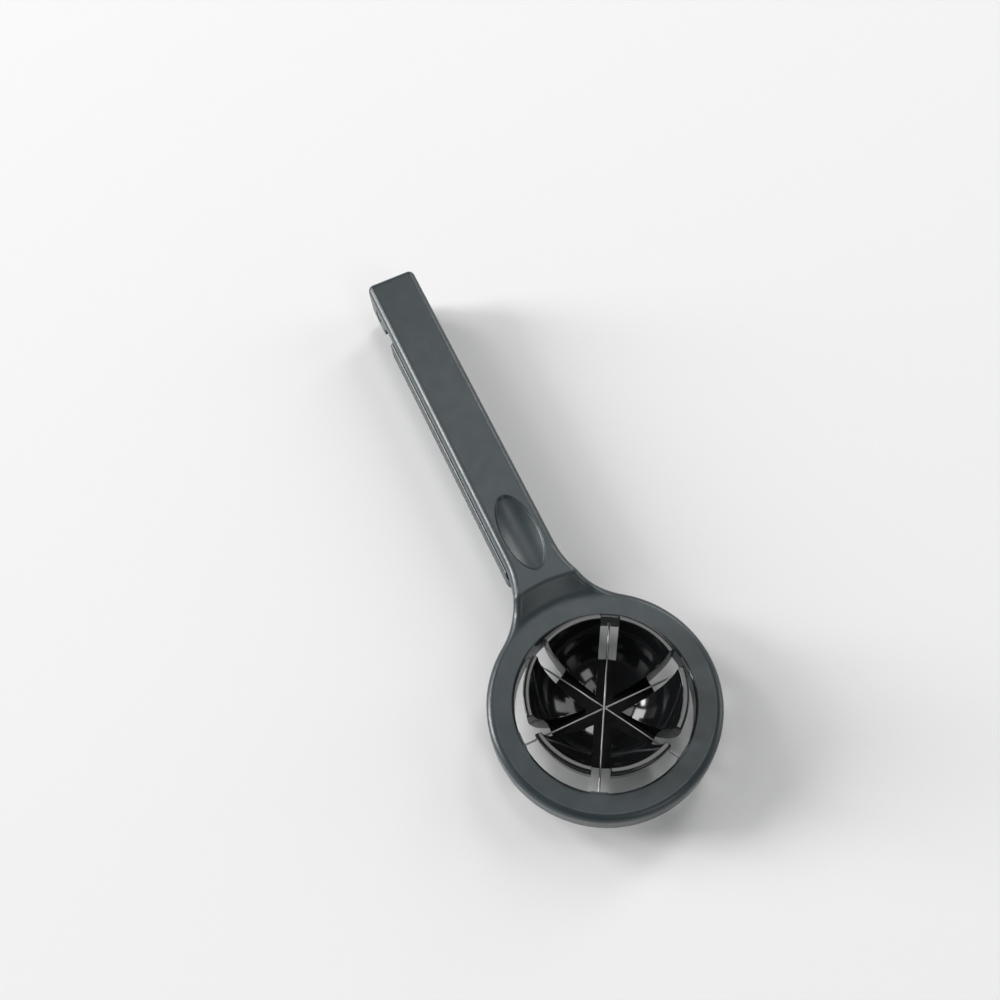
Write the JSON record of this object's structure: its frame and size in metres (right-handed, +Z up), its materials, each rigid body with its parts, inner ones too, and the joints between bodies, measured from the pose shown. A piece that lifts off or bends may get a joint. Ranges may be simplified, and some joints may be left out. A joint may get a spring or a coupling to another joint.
{
  "type": "egg wedger",
  "caption": "Hand-held egg wedger: a ring strung with cutting wires, on a lever hinged at its far end, closes over a petalled cup on a second lever and cuts an egg into wedges.",
  "frame": {"origin": "on the table under the middle of the tool: centre of the bounding box in X and Y, and its bottom in Z", "axes": "+Y runs along the handle from the ring to the hinge, +Z is up out of the cup, and +X is to the right seen from above with the hinge end pointing up the page"},
  "size_m": [0.066, 0.1894, 0.026],
  "materials": {
    "coated_casting": "dark grey satin coat on a smooth casting",
    "black_plastic": "glossy moulded black",
    "steel_wire": "drawn stainless wire",
    "bright_steel": "bright turned steel"
  },
  "bodies": {
    "lower": {"lower_lever": "coated_casting", "egg_cup": "black_plastic", "cup_screw_front": "bright_steel", "cup_screw_rear": "bright_steel"},
    "upper": {"upper_lever": "coated_casting", "hinge_pin": "bright_steel", "cutting_wire_1": "steel_wire", "cutting_wire_2": "steel_wire", "cutting_wire_3": "steel_wire", "wire_ferrule_1a": "bright_steel", "wire_ferrule_1b": "bright_steel", "wire_ferrule_2a": "bright_steel", "wire_ferrule_2b": "bright_steel", "wire_ferrule_3a": "bright_steel", "wire_ferrule_3b": "bright_steel"}
  },
  "joints": [
    {"name": "lever_hinge", "type": "hinge", "parent": "lower", "child": "upper", "pos_m": [0, 0.0867, 0.012], "axis": [-1, 0, 0], "range_deg": [-1.35, 36]}
  ]
}
